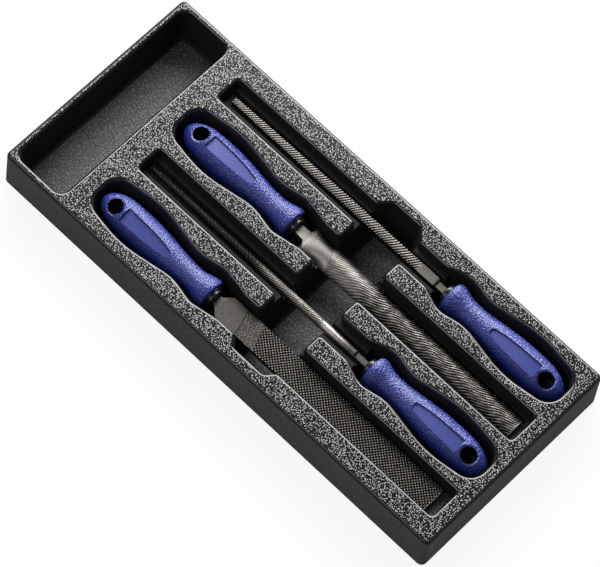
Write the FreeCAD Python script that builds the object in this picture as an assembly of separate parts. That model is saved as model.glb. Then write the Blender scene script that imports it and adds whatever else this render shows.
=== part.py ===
import FreeCAD, Part
import math
import os

V = FreeCAD.Vector

# Sizes in millimetres. X runs along the tray from the open bin to the far end,
# Y runs across it, Z is up and the tray stands on Z = 0.

# Tray shell
TRAY_LENGTH = 406.0
TRAY_WIDTH = 178.0
TRAY_HEIGHT = 39.0
SHEET = 2.0
SKIRT_DRAFT = 0.7
SKIRT_CORNER_RADIUS = 4.5
TOP_EDGE_RADIUS = 2.6
RIM_RADIUS = 2.4
WALL_DRAFT = math.tan(math.radians(4.0))

# Open bin at the end of the tray
BIN_X_MIN = -196.7
BIN_X_MAX = -152.3
BIN_HALF_WIDTH = 83.2
BIN_CORNER_RADIUS = 7.5
BIN_FLOOR = 4.0
BIN_FLOOR_RADIUS = 3.0

# Finger channel that crosses all four file beds
CHANNEL_X_MIN = 3.5
CHANNEL_X_MAX = 44.5
CHANNEL_Y_MIN = -78.0
CHANNEL_Y_MAX = 79.8
CHANNEL_FLOOR = 4.0
CHANNEL_DRAFT = math.tan(math.radians(9.0))
CHANNEL_FLOOR_RADIUS = 4.0
CHANNEL_END_RADIUS = 6.0
CHANNEL_SIDE_RADIUS = 7.0
NEAR_BAY_STEP = 6.5
NEAR_BAY_RADIUS = 4.0
FAR_BAY_STEP = 8.0
FAR_BAY_RADIUS = 5.0
LAND_RADIUS = 3.2

# File beds, one per row
ROW_PITCH = 39.4
ROWS_MIDDLE_Y = 1.2
LEDGE_Z = 30.5
WIDE_HALF_WIDTH = 12.6
NARROW_HALF_WIDTH = 10.4
GROOVE_HALF_WIDTH = 5.9
POCKET_FLOOR = 12.4
POCKET_FLOOR_RADIUS = 5.0
SLOT_FLOOR_RADIUS = 1.1
SLOT_CORNER_RADIUS = 3.0
GROOVE_CORNER_RADIUS = 2.2
SLOT_OVERLAP = 6.0
WIDE_END_X = 189.8
NARROW_END_X = -130.6
POCKET_END_X = [-137.8, 192.4, -136.6, 191.8]

# Handle pocket edge: distance from the pocket end, half width, corner radius
POCKET_EDGE = [
    (0.0, 14.5, 13.0),
    (39.0, 20.2, 90.0),
    (82.0, 12.4, 40.0),
    (103.0, 16.9, 16.0),
]
THROAT_RADIUS = 12.0
WIDE_THROAT = 126.5
WIDE_CLOSE = 122.0
NARROW_THROAT = 121.0
NARROW_CLOSE = 118.0

# Files
AXIS_Z = 28.0
BOSS_LENGTH = 4.0
BOSS_RADIUS = 7.6
FLANGE_RADIUS = 9.0
FLANGE_FRONT = 1.0
FLANGE_DEPTH = 3.0
HANDLE_LENGTH = 105.5
GRIP_THICKNESS = 2.4
HOLE_RADIUS = 6.0
HOLE_FROM_END = 14.0

# Handle outline: distance behind the front face, radius
HANDLE_PROFILE = [
    (1.6, 12.0),
    (4.2, 12.3),
    (8.6, 11.3),
    (14.0, 9.9),
    (20.0, 9.5),
    (28.0, 9.7),
    (38.0, 10.7),
    (48.0, 11.8),
    (58.0, 12.7),
    (68.0, 13.1),
    (76.0, 13.1),
    (82.0, 12.9),
]
FRONT_FACE_RADIUS = 10.4

# Smooth panel on the handle: distance behind the front face, half width, radius
PANEL_EDGE = [
    (83.2, 5.8, 1.0),
    (62.0, 5.3, 30.0),
    (50.0, 4.4, 12.0),
    (39.5, 2.7, 2.5),
]

# Crown of the panel: distance behind the front face, height above the axis
PANEL_CROWN = [
    (38.0, 9.2),
    (50.0, 10.0),
    (62.0, 10.6),
    (74.0, 10.7),
    (86.0, 10.0),
]

# Blades
FLAT_WIDTH = 20.0
FLAT_THICKNESS = 5.0
HALF_ROUND_WIDTH = 20.0
HALF_ROUND_HEIGHT = 6.0
ROUND_DIAMETER = 7.0
ROUND_TIP_DIAMETER = 4.2
SQUARE_SIDE = 7.2
SQUARE_TIP_SIDE = 4.8
BODY_LENGTH = 198.0
TANG_DEPTH = 62.0
TANG_TIP_WIDTH = 3.0
TANG_TIP_THICKNESS = 2.0


def rounded_outline(corners, inset, z):
    """Closed wire at height z round a polygon given counter-clockwise as
    (x, y, radius). A positive inset moves every edge inward."""
    count = len(corners)
    normals = []
    for i in range(count):
        x0, y0, _ = corners[i]
        x1, y1, _ = corners[(i + 1) % count]
        length = math.hypot(x1 - x0, y1 - y0)
        normals.append((-(y1 - y0) / length, (x1 - x0) / length))
    arcs = []
    for i in range(count):
        x, y, radius = corners[i]
        ax, ay = normals[i - 1]
        bx, by = normals[i]
        share = inset / (1.0 + ax * bx + ay * by)
        px = x + (ax + bx) * share
        py = y + (ay + by) * share
        turn = math.atan2(ax * by - ay * bx, ax * bx + ay * by)
        if turn > 0:
            radius = radius - inset
        else:
            radius = radius + inset
        reach = abs(radius * math.tan(turn / 2.0))
        start = V(px - ay * reach, py + ax * reach, z)
        end = V(px + by * reach, py - bx * reach, z)
        bulge = radius / math.cos(turn / 2.0) - radius
        half = math.hypot(ax + bx, ay + by)
        side = 1.0 if turn > 0 else -1.0
        middle = V(px + side * (ax + bx) / half * bulge, py + side * (ay + by) / half * bulge, z)
        arcs.append((start, middle, end))
    edges = []
    for i in range(count):
        start, middle, end = arcs[i]
        edges.append(Part.Arc(start, middle, end).toShape())
        following = arcs[(i + 1) % count][0]
        if (following - end).Length > 1e-6:
            edges.append(Part.makeLine(end, following))
    return Part.Wire(edges)


def tapered(corners, top_z, top_inset, floor_z, floor_inset):
    """Solid with drafted walls between two levels of one outline."""
    top = rounded_outline(corners, top_inset, top_z)
    floor = rounded_outline(corners, floor_inset, floor_z)
    return Part.makeLoft([floor, top], True, True)


def edges_at(shape, z):
    """Edges of a shape that lie in the level plane z."""
    found = []
    for edge in shape.Edges:
        box = edge.BoundBox
        if abs(box.ZMin - z) < 1e-4 and abs(box.ZMax - z) < 1e-4:
            found.append(edge)
    return found


def rectangle(x0, y0, x1, y1, radius):
    """Corners of a rectangle, counter-clockwise."""
    return [(x0, y0, radius), (x1, y0, radius), (x1, y1, radius), (x0, y1, radius)]


def row_y(row):
    """Y of the centre line of a file bed."""
    return ROWS_MIDDLE_Y + (row - 1.5) * ROW_PITCH


def turned_about(corners, x, y):
    """The same corners after half a turn about a point."""
    return [(2.0 * x - cx, 2.0 * y - cy, radius) for cx, cy, radius in corners]


# Rows 0 and 2 have the handle at the bin end and a wide slot to the right.
# Rows 1 and 3 have the handle at the right and a narrow slot to the left.
def slot_side(y, half, end_x, radius):
    """Plain slot to the right of the channel, from its lower wall round to
    its upper wall."""
    return [
        (CHANNEL_X_MAX, y - half, LAND_RADIUS),
        (end_x, y - half, radius),
        (end_x, y + half, radius),
        (CHANNEL_X_MAX, y + half, LAND_RADIUS),
    ]


def pocket_side(y, half, end_x, throat):
    """Slot and handle pocket to the right of the channel."""
    lower = [(CHANNEL_X_MAX, y - half, LAND_RADIUS)]
    lower.append((end_x - throat, y - half, THROAT_RADIUS))
    for distance, width, radius in reversed(POCKET_EDGE):
        lower.append((end_x - distance, y - width, radius))
    upper = [(x, 2.0 * y - cy, radius) for x, cy, radius in reversed(lower)]
    return lower + upper


def bed_outline():
    """Edge of all four file beds and the finger channel as one outline."""
    middle_x = 0.5 * (CHANNEL_X_MIN + CHANNEL_X_MAX)
    right = []
    left = []
    for row in range(4):
        y = row_y(row)
        if row % 2 == 0:
            half = WIDE_HALF_WIDTH
            right += slot_side(y, half, WIDE_END_X, SLOT_CORNER_RADIUS)
            far = 2.0 * middle_x - POCKET_END_X[row]
            side = pocket_side(y, half, far, WIDE_THROAT)
        else:
            half = NARROW_HALF_WIDTH
            right += pocket_side(y, half, POCKET_END_X[row], NARROW_THROAT)
            far = 2.0 * middle_x - NARROW_END_X
            side = slot_side(y, half, far, SLOT_CORNER_RADIUS)
        left = turned_about(side, middle_x, y) + left
    near_bay = [
        (CHANNEL_X_MIN + NEAR_BAY_STEP, CHANNEL_Y_MIN, NEAR_BAY_RADIUS),
        (CHANNEL_X_MAX - NEAR_BAY_STEP, CHANNEL_Y_MIN, NEAR_BAY_RADIUS),
    ]
    far_bay = [
        (CHANNEL_X_MAX - FAR_BAY_STEP, CHANNEL_Y_MAX, FAR_BAY_RADIUS),
        (CHANNEL_X_MIN + FAR_BAY_STEP, CHANNEL_Y_MAX, FAR_BAY_RADIUS),
    ]
    return near_bay + right + far_bay + left


def channel_outline():
    """Finger channel below the ledge level."""
    y_low = row_y(0) - WIDE_HALF_WIDTH
    y_high = row_y(3) + NARROW_HALF_WIDTH
    return [
        (CHANNEL_X_MIN + NEAR_BAY_STEP, CHANNEL_Y_MIN, CHANNEL_END_RADIUS),
        (CHANNEL_X_MAX - NEAR_BAY_STEP, CHANNEL_Y_MIN, CHANNEL_END_RADIUS),
        (CHANNEL_X_MAX, y_low, CHANNEL_SIDE_RADIUS),
        (CHANNEL_X_MAX, y_high, CHANNEL_SIDE_RADIUS),
        (CHANNEL_X_MAX - FAR_BAY_STEP, CHANNEL_Y_MAX, CHANNEL_END_RADIUS),
        (CHANNEL_X_MIN + FAR_BAY_STEP, CHANNEL_Y_MAX, CHANNEL_END_RADIUS),
        (CHANNEL_X_MIN, y_high, CHANNEL_SIDE_RADIUS),
        (CHANNEL_X_MIN, y_low, CHANNEL_SIDE_RADIUS),
    ]


def pocket_outline(row):
    """Handle pocket of one row below the ledge level."""
    y = row_y(row)
    at_left = row % 2 == 0
    half = WIDE_HALF_WIDTH if at_left else NARROW_HALF_WIDTH
    throat = WIDE_THROAT if at_left else NARROW_THROAT
    shut = WIDE_CLOSE if at_left else NARROW_CLOSE
    end_x = abs(POCKET_END_X[row])
    distance, width, _ = POCKET_EDGE[-1]
    share = (shut - distance) / (throat - distance)
    close = width + (half - width) * share
    lower = [(end_x - shut, y - close, SLOT_CORNER_RADIUS)]
    for distance, width, radius in reversed(POCKET_EDGE):
        lower.append((end_x - distance, y - width, radius))
    upper = [(x, 2.0 * y - cy, radius) for x, cy, radius in reversed(lower)]
    if at_left:
        return turned_about(lower + upper, 0.0, y)
    return lower + upper


def slot_outline(row):
    """Blade slot of one row below the ledge level, from the handle pocket
    across the channel to the slot end."""
    y = row_y(row)
    if row % 2 == 0:
        start = POCKET_END_X[row] + WIDE_CLOSE - SLOT_OVERLAP
        half = WIDE_HALF_WIDTH
        return rectangle(start, y - half, WIDE_END_X, y + half, SLOT_CORNER_RADIUS)
    start = POCKET_END_X[row] - NARROW_CLOSE + SLOT_OVERLAP
    half = GROOVE_HALF_WIDTH
    return rectangle(NARROW_END_X, y - half, start, y + half, GROOVE_CORNER_RADIUS)


def slot_floor(row):
    """Height on which the blade of one row rests."""
    depths = [
        FLAT_THICKNESS / 2.0,
        ROUND_DIAMETER / 2.0,
        HALF_ROUND_HEIGHT / 2.0,
        SQUARE_SIDE / 2.0,
    ]
    return AXIS_Z - depths[row]


def recess(corners, floor, draft, top_inset, grow, floor_radius):
    """One recess below the ledge level, grown outward by the sheet
    thickness where it is used as the underside of a wall."""
    depth = LEDGE_Z - floor
    solid = tapered(
        corners,
        LEDGE_Z,
        top_inset - grow,
        floor - grow,
        top_inset + (depth + grow) * draft - grow,
    )
    if floor_radius > 0.0:
        solid = solid.makeFillet(floor_radius, edges_at(solid, floor - grow))
    return solid


def hollows(grow):
    """All recesses of the tray as one solid, and the bin as another."""
    round_floor = grow == 0.0
    ledge_inset = (TRAY_HEIGHT - LEDGE_Z) * WALL_DRAFT
    beds = tapered(
        bed_outline(),
        TRAY_HEIGHT,
        -grow,
        LEDGE_Z - grow,
        ledge_inset - grow,
    )
    parts = []
    radius = CHANNEL_FLOOR_RADIUS if round_floor else 0.0
    parts.append(
        recess(channel_outline(), CHANNEL_FLOOR, CHANNEL_DRAFT, ledge_inset, grow, radius)
    )
    for row in range(4):
        radius = POCKET_FLOOR_RADIUS if round_floor else 0.0
        parts.append(
            recess(pocket_outline(row), POCKET_FLOOR, WALL_DRAFT, ledge_inset, grow, radius)
        )
        radius = SLOT_FLOOR_RADIUS if round_floor else 0.0
        inset = ledge_inset if row % 2 == 0 else 0.0
        parts.append(
            recess(slot_outline(row), slot_floor(row), WALL_DRAFT, inset, grow, radius)
        )
    beds = beds.fuse(parts)
    corners = rectangle(
        BIN_X_MIN,
        -BIN_HALF_WIDTH,
        BIN_X_MAX,
        BIN_HALF_WIDTH,
        BIN_CORNER_RADIUS,
    )
    depth = TRAY_HEIGHT - BIN_FLOOR + grow
    open_bin = tapered(
        corners,
        TRAY_HEIGHT,
        -grow,
        BIN_FLOOR - grow,
        depth * WALL_DRAFT - grow,
    )
    if round_floor:
        open_bin = open_bin.makeFillet(BIN_FLOOR_RADIUS, edges_at(open_bin, BIN_FLOOR))
    return beds, open_bin


def tray_shell():
    """Thermoformed sheet: outer skin, hollow underneath, walls of one
    sheet thickness round every recess."""
    half_length = TRAY_LENGTH / 2.0
    half_width = TRAY_WIDTH / 2.0
    skirt = rectangle(-half_length, -half_width, half_length, half_width, SKIRT_CORNER_RADIUS)
    block = tapered(skirt, TRAY_HEIGHT, SKIRT_DRAFT, 0.0, 0.0)
    block = block.makeFillet(TOP_EDGE_RADIUS, edges_at(block, TRAY_HEIGHT))
    beds, open_bin = hollows(0.0)
    block = block.cut([beds, open_bin])
    rims = []
    border = SKIRT_DRAFT + TOP_EDGE_RADIUS + 1.2
    for edge in edges_at(block, TRAY_HEIGHT):
        box = edge.BoundBox
        inside_x = max(abs(box.XMin), abs(box.XMax)) < half_length - border
        inside_y = max(abs(box.YMin), abs(box.YMax)) < half_width - border
        if inside_x and inside_y:
            rims.append(edge)
    block = block.makeFillet(RIM_RADIUS, rims)
    core = tapered(
        skirt,
        TRAY_HEIGHT - SHEET,
        SKIRT_DRAFT + SHEET,
        0.0,
        SHEET,
    )
    beds_below, bin_below = hollows(SHEET)
    core = core.cut([beds_below, bin_below])
    return block.cut(core)


def handle_solid(shrink):
    """Handle turned from its outline, made smaller by shrink all round.
    Its front face stands at x = -BOSS_LENGTH and it runs towards -X."""
    face_x = -BOSS_LENGTH
    line = [V(face_x - s, 0.0, r - shrink) for s, r in HANDLE_PROFILE]
    side = Part.BSplineCurve()
    side.interpolate(line)
    last_s, last_r = HANDLE_PROFILE[-1]
    butt = Part.Ellipse(
        V(face_x - HANDLE_LENGTH + shrink, 0.0, 0.0),
        V(face_x - last_s, 0.0, last_r - shrink),
        V(face_x - last_s, 0.0, 0.0),
    )
    quarter = butt.toShape(math.pi * 1.5, math.pi * 2.0)
    ends = [vertex.Point for vertex in quarter.Vertexes]
    if min((point - line[-1]).Length for point in ends) > 1e-3:
        quarter = butt.toShape(0.0, math.pi * 0.5)
    if shrink > 0.0:
        foot = V(line[0].x, 0.0, 0.0)
        edges = [Part.makeLine(foot, line[0])]
    else:
        foot = V(face_x, 0.0, 0.0)
        rim = V(face_x, 0.0, FRONT_FACE_RADIUS)
        knee = V(face_x - 0.4, 0.0, FRONT_FACE_RADIUS + 0.95)
        edges = [Part.makeLine(foot, rim), Part.Arc(rim, knee, line[0]).toShape()]
    end = V(face_x - HANDLE_LENGTH + shrink, 0.0, 0.0)
    edges += [side.toShape(), quarter, Part.makeLine(end, foot)]
    face = Part.Face(Part.Wire(edges))
    return face.revolve(V(0.0, 0.0, 0.0), V(1.0, 0.0, 0.0), 360.0)


def panel_prism():
    """Upright column under the smooth panel."""
    upper = [(-BOSS_LENGTH - s, width, radius) for s, width, radius in PANEL_EDGE]
    lower = [(x, -width, radius) for x, width, radius in upper]
    wire = rounded_outline(lower + list(reversed(upper)), 0.0, -20.0)
    return Part.Face(wire).extrude(V(0.0, 0.0, 40.0))


def crown_slab():
    """Slab that is flat across the handle and gently crowned along it."""
    width = 20.0
    edges = []
    ends = []
    for side in (1.0, -1.0):
        line = [V(-BOSS_LENGTH - s, -width / 2.0, side * height) for s, height in PANEL_CROWN]
        curve = Part.BSplineCurve()
        curve.interpolate(line)
        edges.append(curve.toShape())
        ends.append((line[0], line[-1]))
    edges.append(Part.makeLine(ends[0][0], ends[1][0]))
    edges.append(Part.makeLine(ends[0][1], ends[1][1]))
    wire = Part.Wire(Part.__sortEdges__(edges))
    return Part.Face(wire).extrude(V(0.0, width, 0.0))


def hang_hole():
    """Through hole near the end of the handle."""
    x = -BOSS_LENGTH - HANDLE_LENGTH + HOLE_FROM_END
    return Part.makeCylinder(HOLE_RADIUS, 40.0, V(x, 0.0, -20.0), V(0.0, 0.0, 1.0))


def ferrule_solid():
    """Collar with a flange let into the handle and a rounded boss."""
    boss = Part.makeCylinder(BOSS_RADIUS, BOSS_LENGTH + FLANGE_DEPTH, V(0, 0, 0), V(-1, 0, 0))
    front = [edge for edge in boss.Edges if abs(edge.BoundBox.XMin) < 1e-4]
    boss = boss.makeFillet(1.8, front)
    flange_x = -BOSS_LENGTH + FLANGE_FRONT
    flange = Part.makeCylinder(
        FLANGE_RADIUS,
        FLANGE_FRONT + FLANGE_DEPTH,
        V(flange_x, 0, 0),
        V(-1, 0, 0),
    )
    rim = [edge for edge in flange.Edges if abs(edge.BoundBox.XMin - flange_x) < 1e-4
           and abs(edge.BoundBox.XMax - flange_x) < 1e-4]
    flange = flange.makeFillet(0.6, rim)
    return boss.fuse(flange)


def tang_solid(neck_width, neck_thickness, length):
    """Tapered tang from deep in the handle to the blade shoulder."""
    back = -TANG_DEPTH
    plan = Part.makePolygon([
        V(back, -TANG_TIP_WIDTH / 2.0, -10.0),
        V(length, -neck_width / 2.0, -10.0),
        V(length, neck_width / 2.0, -10.0),
        V(back, TANG_TIP_WIDTH / 2.0, -10.0),
        V(back, -TANG_TIP_WIDTH / 2.0, -10.0),
    ])
    side = Part.makePolygon([
        V(back, -20.0, -TANG_TIP_THICKNESS / 2.0),
        V(length, -20.0, -neck_thickness / 2.0),
        V(length, -20.0, neck_thickness / 2.0),
        V(back, -20.0, TANG_TIP_THICKNESS / 2.0),
        V(back, -20.0, -TANG_TIP_THICKNESS / 2.0),
    ])
    plan_prism = Part.Face(plan).extrude(V(0.0, 0.0, 20.0))
    side_prism = Part.Face(side).extrude(V(0.0, 40.0, 0.0))
    return plan_prism.common(side_prism)


def shouldered_plan(neck_width, width, shoulder_start, shoulder_end, tip):
    """Plan of a flat blade with sloping shoulders, as a tall prism."""
    outline = Part.makePolygon([
        V(shoulder_start, -neck_width / 2.0, -10.0),
        V(shoulder_end, -width / 2.0, -10.0),
        V(tip, -width / 2.0, -10.0),
        V(tip, width / 2.0, -10.0),
        V(shoulder_end, width / 2.0, -10.0),
        V(shoulder_start, neck_width / 2.0, -10.0),
        V(shoulder_start, -neck_width / 2.0, -10.0),
    ])
    return Part.Face(outline).extrude(V(0.0, 0.0, 20.0))


def flat_blade():
    """Parallel flat file with sloping shoulders right at the ferrule."""
    start = 2.2
    shoulder = 6.2
    neck = 8.4
    tip = start + shoulder + BODY_LENGTH
    plan = shouldered_plan(neck, FLAT_WIDTH, start, start + shoulder, tip)
    corner = V(start, -FLAT_WIDTH / 2.0, -FLAT_THICKNESS / 2.0)
    bar = Part.makeBox(tip - start, FLAT_WIDTH, FLAT_THICKNESS, corner)
    body = bar.common(plan)
    return body.fuse(tang_solid(neck, 4.2, start + 0.4)).removeSplitter()


def half_round_blade():
    """Half-round file with its round side up."""
    start = 8.0
    shoulder = 3.6
    neck = 8.8
    tip = start + shoulder + BODY_LENGTH - 2.0
    bottom = -HALF_ROUND_HEIGHT / 2.0
    edge = 0.5
    half = HALF_ROUND_WIDTH / 2.0
    arc = Part.Arc(
        V(start, half, bottom + edge),
        V(start, 0.0, bottom + HALF_ROUND_HEIGHT),
        V(start, -half, bottom + edge),
    ).toShape()
    section = Part.Wire([
        Part.makeLine(V(start, -half, bottom + edge), V(start, -half, bottom)),
        Part.makeLine(V(start, -half, bottom), V(start, half, bottom)),
        Part.makeLine(V(start, half, bottom), V(start, half, bottom + edge)),
        arc,
    ])
    bar = Part.Face(section).extrude(V(tip - start, 0.0, 0.0))
    plan = shouldered_plan(neck, HALF_ROUND_WIDTH, start, start + shoulder, tip)
    body = bar.common(plan)
    return body.fuse(tang_solid(neck, 4.4, start + 1.5)).removeSplitter()


def round_blade():
    """Round file that thins towards its tip."""
    start = 11.0
    tip = start + BODY_LENGTH + 1.0
    taper = start + 95.0
    radius = ROUND_DIAMETER / 2.0
    tip_radius = ROUND_TIP_DIAMETER / 2.0
    taper_curve = Part.BSplineCurve()
    taper_curve.interpolate(
        [V(taper, 0.0, radius), V(taper + 55.0, 0.0, radius - 0.45), V(tip - 0.6, 0.0, tip_radius)],
        InitialTangent=V(1.0, 0.0, 0.0),
        FinalTangent=V(1.0, 0.0, -0.025),
    )
    edges = [
        Part.makeLine(V(start, 0.0, 0.0), V(start, 0.0, radius - 0.8)),
        Part.makeLine(V(start, 0.0, radius - 0.8), V(start + 0.8, 0.0, radius)),
        Part.makeLine(V(start + 0.8, 0.0, radius), V(taper, 0.0, radius)),
        taper_curve.toShape(),
        Part.makeLine(V(tip - 0.6, 0.0, tip_radius), V(tip, 0.0, tip_radius - 0.6)),
        Part.makeLine(V(tip, 0.0, tip_radius - 0.6), V(tip, 0.0, 0.0)),
        Part.makeLine(V(tip, 0.0, 0.0), V(start, 0.0, 0.0)),
    ]
    body = Part.Face(Part.Wire(edges)).revolve(V(0, 0, 0), V(1, 0, 0), 360.0)
    return body.fuse(tang_solid(5.1, 3.4, start + 1.5))


def square_section(x, side):
    """Square wire across the file at one place along it."""
    h = side / 2.0
    return Part.makePolygon([
        V(x, -h, -h),
        V(x, h, -h),
        V(x, h, h),
        V(x, -h, h),
        V(x, -h, -h),
    ])


def square_blade():
    """Square file that thins towards its tip."""
    start = 7.6
    tip = start + BODY_LENGTH
    taper = start + 90.0
    bar = Part.Face(square_section(start, SQUARE_SIDE)).extrude(V(taper - start, 0.0, 0.0))
    drop = (SQUARE_SIDE - SQUARE_TIP_SIDE) / 2.0
    end = square_section(tip, SQUARE_TIP_SIDE)
    point = Part.makeLoft([square_section(taper, SQUARE_SIDE), end], True, True)
    body = bar.fuse(point)
    shoulder = [edge for edge in body.Edges if abs(edge.BoundBox.XMax - start) < 1e-4]
    body = body.makeChamfer(drop, shoulder)
    return body.fuse(tang_solid(5.1, 4.0, start + 1.5))


# Name, blade maker, bed row, ferrule front X, Y beside the middle of the bed
# and roll of the handle on its tang in degrees
FILES = [
    ("flat_file", flat_blade, 0, -25.4, -0.3, 15.0),
    ("round_file", round_blade, 1, 81.4, 0.0, 9.0),
    ("half_round_file", half_round_blade, 2, -23.6, 0.5, 0.0),
    ("square_file", square_blade, 3, 80.8, 0.0, 11.0),
]


def placed(shape, row, x, aside, roll):
    """One piece of a file laid into its bed, from the X axis where the
    ferrule front is at the origin and the blade points towards +X."""
    moved = shape.copy()
    if row % 2 == 1:
        moved.rotate(V(0, 0, 0), V(0, 0, 1), 180.0)
    moved.rotate(V(0, 0, 0), V(1, 0, 0), roll)
    moved.translate(V(x, row_y(row) + aside, AXIS_Z))
    return moved


def file_pieces(blade, row, x, aside, roll):
    """Blade, ferrule, hard core and grip of one file in its bed. The handle
    is rolled on the tang before the tang's seat is cut into it."""
    hole = hang_hole()
    outer = handle_solid(0.0)
    inner = handle_solid(GRIP_THICKNESS)
    collar = ferrule_solid()
    window = panel_prism()
    pads = window.common(crown_slab())
    body = inner.cut(window).fuse(pads).removeSplitter()
    grip = outer.cut([body, collar, window, hole])
    body = body.cut([collar, hole])
    tang = placed(blade, row, x, aside, 0.0)
    core = placed(body, row, x, aside, roll).cut(tang)
    ferrule = placed(collar, row, x, aside, roll).cut(tang)
    cover = placed(grip, row, x, aside, roll)
    return {"blade": tang, "ferrule": ferrule, "core": core, "grip": cover}


def main():
    os.makedirs("parts", exist_ok=True)
    tray_shell().exportStep("parts/tray_shell.step")
    for name, make_blade, row, x, aside, roll in FILES:
        pieces = file_pieces(make_blade(), row, x, aside, roll)
        for piece, shape in pieces.items():
            shape.exportStep("parts/" + name + "_" + piece + ".step")


main()
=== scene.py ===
import bpy
import math
import numpy as np
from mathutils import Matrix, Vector


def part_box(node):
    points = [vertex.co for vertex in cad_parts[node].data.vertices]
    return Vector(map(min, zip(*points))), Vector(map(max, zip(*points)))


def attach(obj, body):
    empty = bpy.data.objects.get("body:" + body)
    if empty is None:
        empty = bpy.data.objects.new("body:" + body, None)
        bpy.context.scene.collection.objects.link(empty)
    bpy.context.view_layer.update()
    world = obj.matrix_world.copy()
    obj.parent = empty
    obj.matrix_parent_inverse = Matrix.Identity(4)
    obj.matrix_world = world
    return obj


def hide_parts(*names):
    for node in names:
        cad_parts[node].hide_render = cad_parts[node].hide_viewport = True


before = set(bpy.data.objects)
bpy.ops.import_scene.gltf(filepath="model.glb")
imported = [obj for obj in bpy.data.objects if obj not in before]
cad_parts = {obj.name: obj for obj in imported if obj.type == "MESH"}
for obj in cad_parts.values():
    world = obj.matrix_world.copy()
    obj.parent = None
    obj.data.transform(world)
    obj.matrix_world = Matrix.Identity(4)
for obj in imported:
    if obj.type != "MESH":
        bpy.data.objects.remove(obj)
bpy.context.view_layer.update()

bl_info = {
    "name": "File set in moulded tray",
    "version": (1, 0, 0),
    "blender": (4, 5, 0),
    "location": "View3D > Sidebar > File Tray",
    "description": "Builds the blades and finishes of a moulded tray with four files",
    "category": "Object",
}

# The four files: which way the blade points along X and the roll of the
# handle on its tang in degrees. Their places are read from the CAD blades.
TANG_DEPTH = 0.0620
HOLE_BEHIND = 0.0955
FILES = {
    "flat_file": (1.0, 15.0),
    "round_file": (-1.0, 9.0),
    "half_round_file": (1.0, 0.0),
    "square_file": (-1.0, 11.0),
}


def ferrule_front(name):
    """Middle of the ferrule's front face, where the blade leaves it."""
    way = FILES[name][0]
    low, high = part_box(name + "_blade")
    x = low.x + TANG_DEPTH if way > 0.0 else high.x - TANG_DEPTH
    return x, 0.5 * (low.y + high.y), 0.5 * (low.z + high.z)


# Settings

def colour(name, description, default):
    return bpy.props.FloatVectorProperty(
        name=name, description=description, default=default,
        size=3, min=0.0, max=1.0, subtype="COLOR")


def length(name, description, default):
    return bpy.props.FloatProperty(
        name=name, description=description, default=default,
        min=0.0, unit="LENGTH", subtype="DISTANCE", precision=5)


def factor(name, description, default):
    return bpy.props.FloatProperty(
        name=name, description=description, default=default,
        min=0.0, max=1.0, subtype="FACTOR")


class SheetSettings(bpy.types.PropertyGroup):
    """Finish of the black formed sheet."""
    colour: colour("Sheet colour", "Colour of the black sheet", (0.0045, 0.0045, 0.0050))
    # Painted light: the pale colour is used for the painted glints on the grain tips and for the painted sheen
    # and floor reflection on floors and skirt; the walls get a little of it.
    pale: colour("Grain tip colour", "Colour on the tips of the grain", (0.46, 0.46, 0.46))
    grain: length("Grain size", "Distance between grain bumps on the top face", 0.0012)
    relief: length("Grain height", "Height of the grain bumps", 0.0003)
    roughness: factor("Roughness", "Roughness of the sheet", 0.30)


class HandleSettings(bpy.types.PropertyGroup):
    """Finish of the blue handles and their collars."""
    grip: colour("Grip colour", "Colour of the grained grip", (0.022, 0.036, 0.270))
    # Painted glints: this colour goes on the grip's grain tips only on the flank that faces the lamps.
    painted_glint: colour("Fleck colour", "Colour on the tips of the grip's grain", (0.22, 0.27, 0.66))
    panel: colour("Panel colour", "Colour of the smooth inset panel", (0.045, 0.065, 0.300))
    collar: colour("Collar colour", "Colour of the black collar", (0.010, 0.010, 0.011))
    grain: length("Grain size", "Distance between grain bumps on the grip", 0.0013)
    roughness: factor("Roughness", "Roughness of the grip", 0.30)


class SteelSettings(bpy.types.PropertyGroup):
    """Size of the file teeth and colour of the steel."""
    colour: colour("Steel colour", "Colour of the file steel", (0.26, 0.247, 0.229))
    # Painted shade: the groove colour darkens the bottoms of the teeth.
    groove: colour("Groove colour", "Colour in the bottom of the teeth", (0.010, 0.0095, 0.009))
    flat_pitch: length("Flat file pitch", "Tooth spacing of the flat file", 0.0019)
    arc_pitch: length("Half-round file pitch", "Tooth spacing of the half-round file", 0.0017)
    square_pitch: length("Square file pitch", "Tooth spacing of the square file", 0.0019)
    round_pitch: length("Round file pitch", "Tooth spacing of the round file", 0.0016)
    depth: length("Tooth depth", "Depth of the teeth", 0.00038)


class StageSettings(bpy.types.PropertyGroup):
    """Camera, floor and studio lights."""
    floor: colour("Floor colour", "Colour of the floor", (0.86, 0.86, 0.86))
    key: bpy.props.FloatProperty(
        name="Key lamp", description="Power of the soft box above and behind the tray in watts",
        default=62.0, min=0.0, unit="POWER")
    side: bpy.props.FloatProperty(
        name="Rim lamp", description="Power of the low lamp behind the tray in watts",
        default=30.0, min=0.0, unit="POWER")
    front: bpy.props.FloatProperty(
        name="Front lamp", description="Power of the dim soft box in front of the tray in watts",
        default=12.0, min=0.0, unit="POWER")
    sky: factor("Sky", "Brightness of the even light from all round", 0.16)
    shadow: factor("Shadow", "How much of the tray's shadow shows on the white floor", 0.09)


# Shader maths

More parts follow.
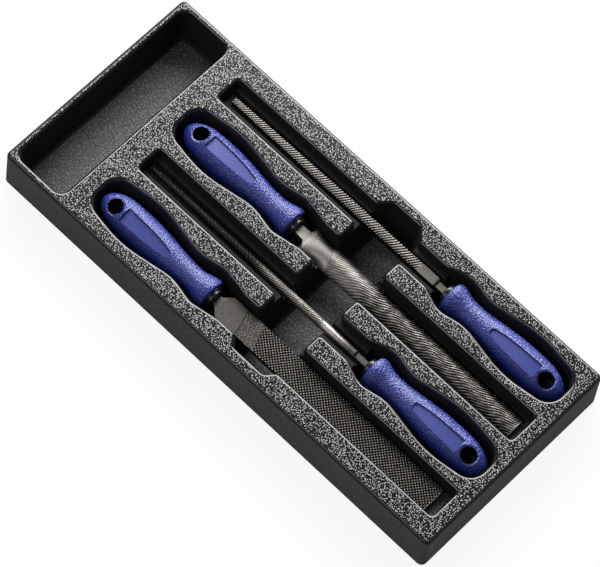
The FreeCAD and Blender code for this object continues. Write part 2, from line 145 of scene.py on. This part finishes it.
class Wire:
    """One output socket in a node tree, with arithmetic: every operator
    makes the Math node of that name and returns its output."""

    def __init__(self, tree, socket):
        self.tree = tree
        self.socket = socket

    def math(self, operation, *others, clamp=False):
        """A Math node on this socket and the others."""
        return self.tree.math(operation, self, *others, clamp=clamp)

    def __add__(self, other):
        return self.math("ADD", other)

    def __radd__(self, other):
        return self.tree.math("ADD", other, self)

    def __sub__(self, other):
        return self.math("SUBTRACT", other)

    def __rsub__(self, other):
        return self.tree.math("SUBTRACT", other, self)

    def __mul__(self, other):
        return self.math("MULTIPLY", other)

    def __rmul__(self, other):
        return self.tree.math("MULTIPLY", other, self)

    def __truediv__(self, other):
        return self.math("DIVIDE", other)

    def __rtruediv__(self, other):
        return self.tree.math("DIVIDE", other, self)

    def __pow__(self, other):
        return self.math("POWER", other)

    def __neg__(self):
        return self.math("MULTIPLY", -1.0)

    def band(self, low, high):
        """0 below low and 1 above high, with a smooth step between."""
        return self.tree.node(
            "ShaderNodeMapRange", {"interpolation_type": "SMOOTHSTEP", "clamp": True},
            Value=self, **{"From Min": low, "From Max": high}, out="Result")


class Tree:
    """Node tree of one material."""

    def __init__(self, name):
        self.material = bpy.data.materials.new(name)
        self.material.use_nodes = True
        self.nodes = self.material.node_tree.nodes
        self.links = self.material.node_tree.links
        self.nodes.clear()

    def node(self, kind, settings=None, out=0, **inputs):
        """Makes a node: its type, then its settings, then its sockets.
        Returns the output named out."""
        made = self.nodes.new(kind)
        for key, value in (settings or {}).items():
            setattr(made, key, value)
        for key, value in inputs.items():
            self.join(made.inputs[key], value)
        return Wire(self, made.outputs[out])

    def join(self, socket, value):
        """Puts a wire or a plain value on a socket."""
        if isinstance(value, Wire):
            self.links.new(value.socket, socket)
        else:
            socket.default_value = value

    def math(self, operation, *values, clamp=False):
        """A Math node with the values on its sockets in order."""
        made = self.nodes.new("ShaderNodeMath")
        made.operation = operation
        made.use_clamp = clamp
        for socket, value in zip(made.inputs, values):
            self.join(socket, value)
        return Wire(self, made.outputs[0])

    def mix(self, share, first, second):
        """Colour between first and second."""
        made = self.nodes.new("ShaderNodeMix")
        made.data_type = "RGBA"
        self.join(made.inputs[0], share)
        for socket, value in ((made.inputs[6], first), (made.inputs[7], second)):
            if not isinstance(value, Wire):
                value = (value[0], value[1], value[2], 1.0)
            self.join(socket, value)
        return Wire(self, made.outputs[2])

    def place(self):
        """Object coordinates, split into x, y and z wires."""
        spot = self.node("ShaderNodeTexCoord", out="Object")
        apart = self.nodes.new("ShaderNodeSeparateXYZ")
        self.links.new(spot.socket, apart.inputs[0])
        return spot, [Wire(self, apart.outputs[i]) for i in range(3)]

    def facing(self):
        """The surface normal, split into x, y and z wires."""
        normal = self.node("ShaderNodeNewGeometry", out="True Normal")
        apart = self.nodes.new("ShaderNodeSeparateXYZ")
        self.links.new(normal.socket, apart.inputs[0])
        return [Wire(self, apart.outputs[i]) for i in range(3)]

    def noise(self, spot, size, detail=2.0, rough=0.5):
        """Noise whose features are about size metres across."""
        return self.node(
            "ShaderNodeTexNoise", {"noise_dimensions": "3D"}, out="Fac",
            Vector=spot, Scale=1.0 / size, Detail=detail, Roughness=rough)

    def cells(self, spot, size, smooth=0.3):
        """Rounded cells about size metres across, 0 at each centre."""
        return self.node(
            "ShaderNodeTexVoronoi", {"feature": "SMOOTH_F1"}, out="Distance",
            Vector=spot, Scale=1.0 / size, Smoothness=smooth)

    def bump(self, height, distance, strength=1.0):
        """Normal from a height wire, distance metres high."""
        return self.node(
            "ShaderNodeBump", out="Normal",
            Height=height, Distance=distance, Strength=strength)

    def surface(self, base, roughness, normal=None, metallic=0.0, coat=0.0, specular=0.5):
        """The finished surface shader, joined to the output."""
        shader = self.nodes.new("ShaderNodeBsdfPrincipled")
        if not isinstance(base, Wire):
            base = (base[0], base[1], base[2], 1.0)
        self.join(shader.inputs["Base Color"], base)
        self.join(shader.inputs["Roughness"], roughness)
        self.join(shader.inputs["Metallic"], metallic)
        self.join(shader.inputs["Specular IOR Level"], specular)
        self.join(shader.inputs["Coat Weight"], coat)
        if normal is not None:
            self.join(shader.inputs["Normal"], normal)
        output = self.nodes.new("ShaderNodeOutputMaterial")
        self.links.new(shader.outputs[0], output.inputs[0])
        return self.material


def sheet_material(s):
    """Black formed sheet: coarse speckled grain on the top face, with painted
    glints in the pale colour on the grain tips, a finer leather grain on
    floors and skirt, painted paler there as painted sheen on the floors and
    a painted reflection of the white floor on the skirt, stretched smooth on
    walls and rims."""
    t = Tree("black_sheet")
    spot, (x, y, z) = t.place()
    nz = t.facing()[2]
    top = z.band(0.0376, 0.0388)
    flat = nz.band(0.988, 0.999)
    skirt = 1.0 - nz.math("ABSOLUTE").band(0.05, 0.20)
    outside = (x.math("ABSOLUTE") - 0.1985).band(0.0, 0.0010)
    outside = outside.math("MAXIMUM", (y.math("ABSOLUTE") - 0.0865).band(0.0, 0.0010))
    edge = outside * (1.0 - flat)
    outside = outside * skirt
    cell = t.cells(spot, s.grain, 0.05)
    soft = t.noise(spot, s.grain * 0.6, 2.0, 0.5)
    fine = t.noise(spot, 0.0014, 2.0, 0.5)
    broad = t.noise(spot, 0.045, 2.0, 0.5)
    grain = 1.0 - cell + (soft - 0.5) * 0.4 + (broad - 0.5) * 0.06
    share = top * flat
    # Floors below the ledges: only these get the painted sheen, the ledges keep the sheet colour.
    low = 1.0 - z.band(0.024, 0.027)
    leathery = (flat * low).math("MAXIMUM", outside * 0.5)
    rim = z.band(0.0362, 0.0370) * nz.band(0.10, 0.30) * (1.0 - flat) * (1.0 - edge)
    normal = t.bump(grain * share * 0.3 + fine * leathery * 1.8, s.relief, 1.0)
    # Painted glints: the pale colour on the tips of the top face's grain.
    tips = grain.band(0.56, 0.72) * share
    leather = fine.band(0.50, 0.68) * leathery
    wall = (1.0 - flat * low) * (1.0 - share) * (1.0 - rim)
    # Painted sheen on the low floors and painted reflection of the floor on the skirt: a pale leather speckle
    # and an even lift towards the pale colour.
    floors = leather * (0.27 - outside * 0.21) + leathery * 0.115
    base = t.mix(tips + floors + wall * (1.0 - outside) * 0.016, s.colour, s.pale)
    roughness = s.roughness - rim * 0.12 + leathery * 0.14 + wall * 0.45 - share * 0.04
    return t.surface(base, roughness, normal, coat=rim * 0.9, specular=0.28)


def handle_space(t, name):
    """Wires for the distance behind the ferrule front, across the handle
    and up out of its panel, all turned with the handle."""
    spot, (x, y, z) = t.place()
    way, roll = FILES[name]
    fx, fy, fz = ferrule_front(name)
    sine = math.sin(math.radians(roll))
    cosine = math.cos(math.radians(roll))
    behind = (fx - x) * way
    across = (y - fy) * cosine + (z - fz) * sine
    up = (z - fz) * cosine - (y - fy) * sine
    return spot, behind, across, up


def hole_distance(behind, across):
    """Distance from the middle line of the hang hole."""
    along = behind - HOLE_BEHIND
    return (along * along + across * across) ** 0.5


def grip_material(name, s):
    """Blue grip with a fine sparkling grain, partly painted glints on the flank that faces the lamps, a
    softened hole rim and painted shade in the hang hole.
    """
    t = Tree(name + "_grip_blue")
    spot, behind, across, up = handle_space(t, name)
    radius = hole_distance(behind, across)
    coarse = t.noise(spot, s.grain, 2.0, 0.6)
    fine = t.cells(spot, s.grain * 0.9, 0.15)
    broad = t.noise(spot, 0.02, 2.0, 0.5)
    grain = coarse * 0.9 - fine * 0.5
    rim = radius.band(0.0060, 0.0074)
    normal = t.bump(grain * 1.3 + rim * 2.2, 0.0005, 1.0)
    # Painted shade: near-black colour in the hang hole.
    hole_shade = 1.0 - radius.band(0.00600, 0.00612)
    deep = tuple(c * 0.7 for c in s.grip)
    nx, ny, nz = t.facing()
    # Painted glints: pale specks on the grain tips, more of them and only on the flank facing up and towards
    # +Y, where the lamps light it.
    lit_side = (ny * 0.5 + nz * 0.87).band(0.45, 1.0)
    base = t.mix(broad, deep, s.grip)
    base = t.mix((grain + lit_side * 0.10).band(0.37, 0.45) * (lit_side ** 1.6) * 0.9, base, s.painted_glint)
    base = t.mix(hole_shade, base, tuple(c * 0.05 for c in s.grip))
    return t.surface(base, s.roughness + (broad - 0.5) * 0.2, normal, specular=0.7)


def panel_material(name, s):
    """Smooth blue plastic of the inset panel, with faint mould marks and
    painted shade in the hang hole."""
    t = Tree(name + "_core_blue")
    spot, behind, across, up = handle_space(t, name)
    radius = hole_distance(behind, across)
    fine = t.noise(spot, 0.0009, 2.0, 0.5)
    broad = t.noise(spot, 0.012, 2.0, 0.5)
    deep = tuple(c * 0.85 for c in s.panel)
    base = t.mix(broad, deep, s.panel)
    # Painted shade: near-black colour in the hang hole.
    hole_shade = 1.0 - radius.band(0.00600, 0.00612)
    base = t.mix(hole_shade, base, tuple(c * 0.05 for c in s.panel))
    return t.surface(base, 0.50 + (broad - 0.5) * 0.1, t.bump(fine, 0.00006, 1.0))


def collar_material(s):
    """Glossy black collar."""
    t = Tree("black_collar")
    spot, _ = t.place()
    broad = t.noise(spot, 0.004, 2.0, 0.5)
    lifted = tuple(c * 1.6 for c in s.collar)
    base = t.mix(broad, s.collar, lifted)
    return t.surface(base, 0.16 + broad * 0.08, t.bump(broad, 0.00002, 1.0))


def steel_material(name, s, painted_light):
    """Dull file steel: painted shade in the grooves, the darker heel and the
    darkening along some blades, read from the piece's own groove attribute,
    with faint stains along the blade. The painted light factor scales the
    steel colour, a painted brightness for how each blade is lit."""
    t = Tree(name)
    spot, _ = t.place()
    groove = t.node("ShaderNodeAttribute", {"attribute_name": "groove"}, out="Fac")
    stain = t.noise(spot, 0.009, 3.0, 0.6)
    spotty = t.noise(spot, 0.0035, 3.0, 0.65)
    fine = t.noise(spot, 0.0006, 2.0, 0.5)
    bare = tuple(c * painted_light for c in s.colour)
    warm = tuple(c * f for c, f in zip(bare, (0.82, 0.71, 0.60)))
    clean = t.mix(spotty.band(0.48, 0.66) * stain.band(0.36, 0.62), bare, warm)
    # Painted shade: towards the groove colour where the groove attribute is high, in the teeth's groove bottoms
    # and along some blades; the heel's darker tone comes through it too.
    base = t.mix(groove.band(0.05, 0.75), clean, s.groove)
    roughness = 0.40 + groove * 0.25 + (fine - 0.5) * 0.2
    return t.surface(base, roughness, t.bump(fine, 0.00004, 1.0), metallic=1.0)


# Blades

# How dark the uncut heel is beside the crests of the teeth
HEEL_SHADE = 0.50

# Painted light: how bright each blade's steel is painted for the light it catches, as a share of the steel
# colour; the round file is painted brightest.
PAINTED_STEEL_LIGHT = {
    "flat_file": 1.25,
    "round_file": 1.7,
    "half_round_file": 1.25,
    "square_file": 1.2,
}


def blend_step(a, low, high):
    """Smooth step of a from 0 at low to 1 at high."""
    u = np.clip((a - low) / (high - low), 0.0, 1.0)
    return u * u * (3.0 - 2.0 * u)


def vee(phase):
    """Tooth profile: 0 at each groove bottom rising to 1 at each crest and
    falling steeply, from the fraction of a turn."""
    part = phase - np.floor(phase)
    return np.minimum(part / 0.72, (1.0 - part) / 0.28)


def put_mesh(name, points, groove, material, body, node):
    """Mesh from a grid of points, rings along the blade by steps round it,
    closed round and capped at both ends, riding on a CAD body."""
    rings, steps, _ = points.shape
    i, j = np.meshgrid(np.arange(rings - 1), np.arange(steps), indexing="ij")
    a = i * steps + j
    b = i * steps + (j + 1) % steps
    quads = np.stack([a, b, b + steps, a + steps], axis=-1).reshape(-1, 4)
    first = points[0].mean(axis=0)
    last = points[-1].mean(axis=0)
    verts = np.vstack([points.reshape(-1, 3), first, last])
    tip = rings * steps
    around = np.arange(steps)
    after = (around + 1) % steps
    start = np.stack([after, around, np.full(steps, tip)], axis=-1)
    base = (rings - 1) * steps
    end = np.stack([base + around, base + after, np.full(steps, tip + 1)], axis=-1)
    mesh = bpy.data.meshes.new(name)
    loops = np.concatenate([quads.ravel(), start.ravel(), end.ravel()])
    totals = np.concatenate([np.full(len(quads), 4), np.full(2 * steps, 3)])
    starts = np.concatenate([[0], np.cumsum(totals)[:-1]])
    mesh.vertices.add(len(verts))
    mesh.vertices.foreach_set("co", verts.ravel())
    mesh.loops.add(len(loops))
    mesh.loops.foreach_set("vertex_index", loops)
    mesh.polygons.add(len(totals))
    mesh.polygons.foreach_set("loop_start", starts)
    mesh.polygons.foreach_set("loop_total", totals)
    mesh.update(calc_edges=True)
    if mesh.validate():
        raise RuntimeError(name + " has broken faces")
    layer = mesh.attributes.new("groove", "FLOAT", "POINT")
    layer.data.foreach_set("value", np.concatenate([groove.ravel(), [0.0, 0.0]]))
    mesh.polygons.foreach_set("use_smooth", np.ones(len(totals), dtype=bool))
    mesh.set_sharp_from_angle(angle=math.radians(50.0))
    mesh.materials.append(material)
    piece = bpy.data.objects.new(name, mesh)
    bpy.context.scene.collection.objects.link(piece)
    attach(piece, body)
    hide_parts(node)
    return piece


def laid(points, name):
    """Points of a file drawn along +X from its ferrule front, moved to
    their place in the tray."""
    way = FILES[name][0]
    x, y, z = ferrule_front(name)
    out = np.empty_like(points)
    out[..., 0] = x + way * points[..., 0]
    out[..., 1] = y + way * points[..., 1]
    out[..., 2] = z + points[..., 2]
    return out


def stations(*runs):
    """Places along a blade: each run is (end, spacing), from the last
    place on."""
    places = [np.array([runs[0][0]])]
    at = runs[0][0]
    for end, spacing in runs[1:]:
        count = max(1, int(round((end - at) / spacing)))
        places.append(np.linspace(at, end, count + 1)[1:])
        at = end
    return np.concatenate(places)


def box_ring(half_width, half_height, top_count, side_count):
    """Section of a bar: the top from left to right as seen from the tip,
    then the right side down, the bottom back and the left side up, as
    arrays of y, z and of which side each point is on."""
    u = np.linspace(-1.0, 1.0, top_count)
    w = np.linspace(1.0, -1.0, side_count + 2)[1:-1]
    low = np.linspace(-1.0, 1.0, max(6, top_count // 4))
    y = np.concatenate([-u, np.full(side_count, -1.0), low, np.full(side_count, 1.0)])
    z = np.concatenate([np.ones(top_count), w, np.full(len(low), -1.0), -w])
    side = np.concatenate([
        np.zeros(top_count), np.ones(side_count), np.full(len(low), 2.0), np.full(side_count, 3.0)])
    return half_width[:, None] * y[None, :], half_height[:, None] * z[None, :], side


def flat_blade(s):
    """Flat file: a bar of rings along X. A band of fine slanting grooves,
    then two sets of slanting grooves that cut each other into rows of
    pyramids."""
    tip = 0.2064
    x = stations((-TANG_DEPTH, 0.0), (0.0022, 0.0200), (0.0084, 0.0012), (0.0180, 0.0010), (tip, 0.00040))
    half = np.interp(x, [-TANG_DEPTH, 0.0022, 0.0084, tip], [0.0015, 0.0042, 0.0100, 0.0100])
    thick = np.interp(x, [-TANG_DEPTH, 0.0022, 0.0040], [0.0010, 0.0022, 0.0025])
    y, z, side = box_ring(half - 0.00002, thick, 54, 4)
    gx = np.broadcast_to(x[:, None], y.shape)
    over = (gx * 0.62 + y * 0.78) / s.flat_pitch
    up = (gx * 0.80 - y * 0.60) / s.flat_pitch
    cut = np.minimum(vee(over), vee(up)) ** 1.2
    band = np.minimum(vee((gx * 0.78 + y * 0.62) / 0.0010), vee((gx * 0.62 - y * 0.78) / 0.0010))
    reach = gx + y * 0.35
    coarse = blend_step(reach, 0.0400, 0.0420)
    started = blend_step(gx + y * 0.28, 0.0240, 0.0250) * blend_step(tip - gx, 0.0, 0.0010)
    face = ((side == 0) | (side == 2)).astype(float)[None, :]
    groove = ((1.0 - cut) * coarse + (1.0 - band) * 0.90 * (1.0 - coarse)) * started * face
    z = z - np.sign(z) * s.depth * groove
    return np.stack([gx, y, z], axis=-1), groove + (HEEL_SHADE + 0.05) * (1.0 - started * face)


def half_round_blade(s):
    """Half-round file: each ring is a flat base and an arc over it. Rows of
    grooves climb along the arc, in two depths that fade in and out."""
    tip = 0.2076
    x = stations((-TANG_DEPTH, 0.0), (0.0080, 0.0200), (0.0116, 0.0007), (0.0250, 0.0010), (tip, 0.00040))
    half = np.interp(x, [-TANG_DEPTH, 0.0080, 0.0116, tip], [0.0015, 0.0044, 0.0100, 0.0100])
    count = 72
    turn = np.linspace(-1.0, 1.0, count)
    radius = (0.0100 ** 2 + 0.0055 ** 2) / (2.0 * 0.0055)
    reach = math.asin(0.0100 / radius)
    arc_y = radius * np.sin(turn * reach) / 0.0100
    arc_z = radius * np.cos(turn * reach) - radius + 0.0055
    base = np.linspace(1.0, -1.0, 14)
    y = half[:, None] * np.concatenate([-arc_y, -base])[None, :]
    tang = 1.0 - blend_step(x, 0.0078, 0.0250)
    bottom = -0.0030 + 0.0010 * tang
    arch = np.concatenate([arc_z + 0.0005, np.zeros(14)])
    high = np.concatenate([np.full(count, 0.0041), np.zeros(14)])
    shape = np.minimum(arch[None, :] * (0.35 + 0.65 * (half[:, None] / 0.0100) ** 2), 1.0)
    z = bottom[:, None] + shape * (1.0 - tang[:, None]) + np.minimum(high, arch * 3.0)[None, :] * tang[:, None]
    gx = np.broadcast_to(x[:, None], y.shape)
    wander = 0.0006 * np.sin(gx / 0.0150 + 1.3 * np.sin(gx / 0.0410))
    wander = wander + 0.00045 * np.sin(gx / 0.0053 + y / 0.0034)
    bow = y * 0.9063 - gx * 0.4226 + wander
    cut = vee(bow / s.arc_pitch)
    line = np.floor(bow / s.arc_pitch)
    shift = np.sin(line * 12.9898) * 43758.5453
    streak = 0.5 + 0.5 * np.sin(2.0 * math.pi * ((gx * 0.9063 + y * 0.4226) / 0.0110 + shift - np.floor(shift)))
    upper = np.concatenate([np.ones(count), np.zeros(14)])[None, :]
    started = blend_step(gx + y * 0.35, 0.0300, 0.0320) * blend_step(tip - gx, 0.0, 0.0010)
    deep = 0.45 + 0.55 * blend_step(gx, 0.050, 0.075)
    groove = (0.92 - cut * (0.62 + 0.30 * streak)) * started * upper * deep
    z = z - s.depth * groove
    # Painted shade and light across the heel: darker towards the +y (far) side, lighter towards the near side.
    heel_gradient = HEEL_SHADE * (0.75 + 0.65 * y / 0.0100)
    # Painted shade on the teeth: darker towards the +y (far) side and at the start of the teeth, near the heel.
    darkening = (0.28 * blend_step(y, 0.0015, 0.0095) + 0.16 * blend_step(-gx, -0.075, -0.045)) * started * upper
    return np.stack([gx, y, z], axis=-1), groove + darkening + heel_gradient * (1.0 - started * upper)


def round_blade(s):
    """Round file: a turned bar that thins towards its tip, with grooves
    that wind round it."""
    tip = 0.2100
    x = stations((-TANG_DEPTH, 0.0), (0.0110, 0.0200), (0.0120, 0.0003), (0.0420, 0.0012), (tip, 0.00040))
    radius = np.interp(x, [0.0110, 0.0118, 0.1060, 0.1610, tip - 0.0006, tip],
                       [0.0027, 0.0035, 0.0035, 0.00305, 0.0021, 0.0015])
    wide = np.interp(x, [-TANG_DEPTH, 0.0110], [0.0015, 0.00255])
    tall = np.interp(x, [-TANG_DEPTH, 0.0110], [0.0010, 0.0017])
    body = (x > 0.01105).astype(float)
    count = 56
    a = np.linspace(0.0, 2.0 * math.pi, count, endpoint=False)
    power = 0.35
    boxy_y = np.sign(np.cos(a)) * np.abs(np.cos(a)) ** power
    boxy_z = np.sign(np.sin(a)) * np.abs(np.sin(a)) ** power
    gx = np.broadcast_to(x[:, None], (len(x), count))
    turn = np.broadcast_to(a[None, :], gx.shape)
    rows = 14.0 * turn / (2.0 * math.pi)
    steep = vee(rows + gx / (s.round_pitch * 2.7))
    shallow = vee(5.0 / 14.0 * rows - gx / (s.round_pitch * 2.1))
    cut = np.minimum(steep, 0.7 + 0.3 * shallow)
    toothed = blend_step(gx, 0.0400, 0.0460) * blend_step(tip - 0.0006 - gx, 0.0, 0.0010)
    groove = (1.0 - cut) * toothed
    r = radius[:, None] - s.depth * 0.8 * groove
    y = body[:, None] * r * np.cos(turn) + (1.0 - body[:, None]) * wide[:, None] * boxy_y[None, :]
    z = body[:, None] * r * np.sin(turn) + (1.0 - body[:, None]) * tall[:, None] * boxy_z[None, :]
    # Darker towards the tip.
    darkening = 0.35 * blend_step(gx, 0.0900, 0.1150)
    # Heel darker towards the ferrule.
    heel_gradient = HEEL_SHADE * (0.45 + 0.65 * blend_step(0.0340 - gx, 0.0, 0.0180))
    return np.stack([gx, y, z], axis=-1), groove + darkening + heel_gradient * (1.0 - toothed)


def square_blade(s):
    """Square file: a bar that thins towards its tip, with slanting grooves
    on all four sides."""
    tip = 0.2056
    x = stations((-TANG_DEPTH, 0.0), (0.0076, 0.0200), (0.0087, 0.0004), (0.0240, 0.0012), (tip, 0.00055))
    places = [-TANG_DEPTH, 0.0076, 0.00761, 0.0088, 0.0976, tip]
    half = np.interp(x, places, [0.0015, 0.00255, 0.0024, 0.0036, 0.0036, 0.0024])
    thick = np.interp(x, places, [0.0010, 0.0020, 0.0024, 0.0036, 0.0036, 0.0024])
    count = 44
    u = np.linspace(-1.0, 1.0, count)[:-1]
    one = np.ones(count - 1)
    y = half[:, None] * np.concatenate([-u, -one, u, one])[None, :]
    z = thick[:, None] * np.concatenate([one, -u, -one, u])[None, :]
    across = np.concatenate([u, u, u, u]) * 0.0036
    gx = np.broadcast_to(x[:, None], y.shape)
    wander = 0.0004 * np.sin(gx / 0.0140) + 0.0002 * np.sin(gx / 0.0047)
    line = (gx * 0.83 + across[None, :] * 0.56 + wander) / s.square_pitch
    cross = (gx * 0.45 - across[None, :] * 0.89) / s.square_pitch
    cut = np.minimum(vee(line), 0.62 + 0.38 * vee(cross))
    toothed = blend_step(gx, 0.0245, 0.0265) * blend_step(tip - gx, 0.0, 0.0010)
    groove = (1.0 - cut) * toothed
    inner = 1.0 - s.depth * groove / 0.0036
    # Painted shade: darker towards the +y side of the blade.
    darkening = 0.22 * blend_step(y, -0.0010, 0.0036) * toothed
    return np.stack([gx, y * inner, z * inner], axis=-1), groove + darkening + HEEL_SHADE * (1.0 - toothed)


# Operators

def settings():
    return bpy.context.scene.file_tray


def coat_node(node, material):
    """Puts a material on every slot of a CAD node."""
    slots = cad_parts[node].material_slots
    if not slots:
        raise RuntimeError(node + " has no material slot")
    for each in slots:
        each.material = material


class TRAY_OT_sheet(bpy.types.Operator):
    """Grained black sheet finish for the tray"""
    bl_idname = "file_tray.sheet"
    bl_label = "Tray sheet"

    def execute(self, context):
        coat_node("tray_shell", sheet_material(settings().sheet))
        return {"FINISHED"}


class TRAY_OT_handles(bpy.types.Operator):
    """Grips, cores and collars of the four handles"""
    bl_idname = "file_tray.handles"
    bl_label = "Handles"

    def execute(self, context):
        s = settings().handles
        collar = collar_material(s)
        for name in FILES:
            coat_node(name + "_grip", grip_material(name, s))
            coat_node(name + "_core", panel_material(name, s))
            coat_node(name + "_ferrule", collar)
        return {"FINISHED"}


class TRAY_OT_blades(bpy.types.Operator):
    """Cut blades of the four files"""
    bl_idname = "file_tray.blades"
    bl_label = "Blades"

    def execute(self, context):
        s = settings().steel
        makers = {
            "flat_file": flat_blade,
            "round_file": round_blade,
            "half_round_file": half_round_blade,
            "square_file": square_blade,
        }
        for name, maker in makers.items():
            points, groove = maker(s)
            steel = steel_material(name + "_steel", s, PAINTED_STEEL_LIGHT[name])
            put_mesh(name + "_cut_blade", laid(points, name), groove, steel,
                     name, name + "_blade")
        return {"FINISHED"}


class TRAY_OT_stage(bpy.types.Operator):
    """Camera, pale floor and soft studio lights"""
    bl_idname = "file_tray.stage"
    bl_label = "Stage"

    def execute(self, context):
        s = settings().stage
        scene = context.scene
        scene.view_settings.view_transform = "Standard"
        eye = bpy.data.cameras.new("photo_camera")
        eye.sensor_width = 36.0
        eye.lens = 243.69
        eye.clip_end = 50.0
        camera = bpy.data.objects.new("photo_camera", eye)
        camera.location = (0.66512, -0.96462, 2.58108)
        camera.rotation_euler = [math.radians(a) for a in (24.1208, -4.2998, 44.0596)]
        scene.collection.objects.link(camera)
        scene.camera = camera

        side = 20.0
        mesh = bpy.data.meshes.new("floor")
        mesh.from_pydata(
            [(-side, -side, 0.0), (side, -side, 0.0), (side, side, 0.0), (-side, side, 0.0)],
            [], [(0, 1, 2, 3)])
        floor = bpy.data.objects.new("floor", mesh)
        scene.collection.objects.link(floor)
        t = Tree("floor_paint")
        spot, _ = t.place()
        cloud = t.noise(spot, 0.4, 2.0, 0.5)
        base = t.mix(cloud, tuple(c * 0.995 for c in s.floor), s.floor)
        paint = t.surface(base, 0.8, specular=0.1)
        shader = next(node for node in t.nodes if node.type == "BSDF_PRINCIPLED")
        output = next(node for node in t.nodes if node.type == "OUTPUT_MATERIAL")
        white = t.node("ShaderNodeEmission", Color=(1.0, 1.0, 1.0, 1.0), Strength=1.0)
        seen = t.node("ShaderNodeLightPath", out="Is Camera Ray")
        for ray in ("Is Glossy Ray", "Is Transmission Ray"):
            seen = seen.math("MAXIMUM", t.node("ShaderNodeLightPath", out=ray))
        blend = t.nodes.new("ShaderNodeMixShader")
        t.join(blend.inputs[0], seen * (1.0 - s.shadow))
        t.links.new(shader.outputs[0], blend.inputs[1])
        t.links.new(white.socket, blend.inputs[2])
        t.links.new(blend.outputs[0], output.inputs[0])
        mesh.materials.append(paint)

        def lamp(name, power, place, aim, width, height):
            data = bpy.data.lights.new(name, "AREA")
            data.shape = "RECTANGLE"
            data.size = width
            data.size_y = height
            data.energy = power
            obj = bpy.data.objects.new(name, data)
            obj.location = place
            obj.rotation_euler = (Vector(aim) - Vector(place)).to_track_quat("-Z", "Y").to_euler()
            scene.collection.objects.link(obj)

        lamp("key_lamp", s.key, (-0.95, 1.17, 1.36), (0.0, 0.0, 0.0), 2.0, 0.9)
        lamp("front_lamp", s.front, (-0.55, -1.45, 1.85), (0.0, 0.0, 0.0), 1.6, 1.2)
        lamp("rim_lamp", s.side, (-1.05, 1.75, 0.75), (0.0, 0.0, 0.0), 2.6, 0.7)

        world = bpy.data.worlds.new("even_light")
        world.use_nodes = True
        back = world.node_tree.nodes["Background"]
        back.inputs["Color"].default_value = (1.0, 1.0, 1.0, 1.0)
        back.inputs["Strength"].default_value = s.sky
        scene.world = world
        return {"FINISHED"}


class FileTraySettings(bpy.types.PropertyGroup):
    """All settings of the tray and its files."""
    sheet: bpy.props.PointerProperty(type=SheetSettings)
    handles: bpy.props.PointerProperty(type=HandleSettings)
    steel: bpy.props.PointerProperty(type=SteelSettings)
    stage: bpy.props.PointerProperty(type=StageSettings)


class TRAY_PT_panel(bpy.types.Panel):
    """Sidebar panel with the tray's settings and builders"""
    bl_label = "File Tray"
    bl_space_type = "VIEW_3D"
    bl_region_type = "UI"
    bl_category = "File Tray"

    def draw(self, context):
        s = context.scene.file_tray
        for group, operator in (
            (s.sheet, "file_tray.sheet"),
            (s.handles, "file_tray.handles"),
            (s.steel, "file_tray.blades"),
            (s.stage, "file_tray.stage"),
        ):
            box = self.layout.box()
            for key in group.__annotations__:
                box.prop(group, key)
            box.operator(operator)


CLASSES = (
    SheetSettings,
    HandleSettings,
    SteelSettings,
    StageSettings,
    FileTraySettings,
    TRAY_OT_sheet,
    TRAY_OT_handles,
    TRAY_OT_blades,
    TRAY_OT_stage,
    TRAY_PT_panel,
)


def register():
    for each in CLASSES:
        bpy.utils.register_class(each)
    bpy.types.Scene.file_tray = bpy.props.PointerProperty(type=FileTraySettings)


def unregister():
    del bpy.types.Scene.file_tray
    for each in reversed(CLASSES):
        bpy.utils.unregister_class(each)


def main():
    register()
    bpy.ops.file_tray.sheet()
    bpy.ops.file_tray.handles()
    bpy.ops.file_tray.blades()
    bpy.ops.file_tray.stage()


if __name__ == "__main__":
    main()
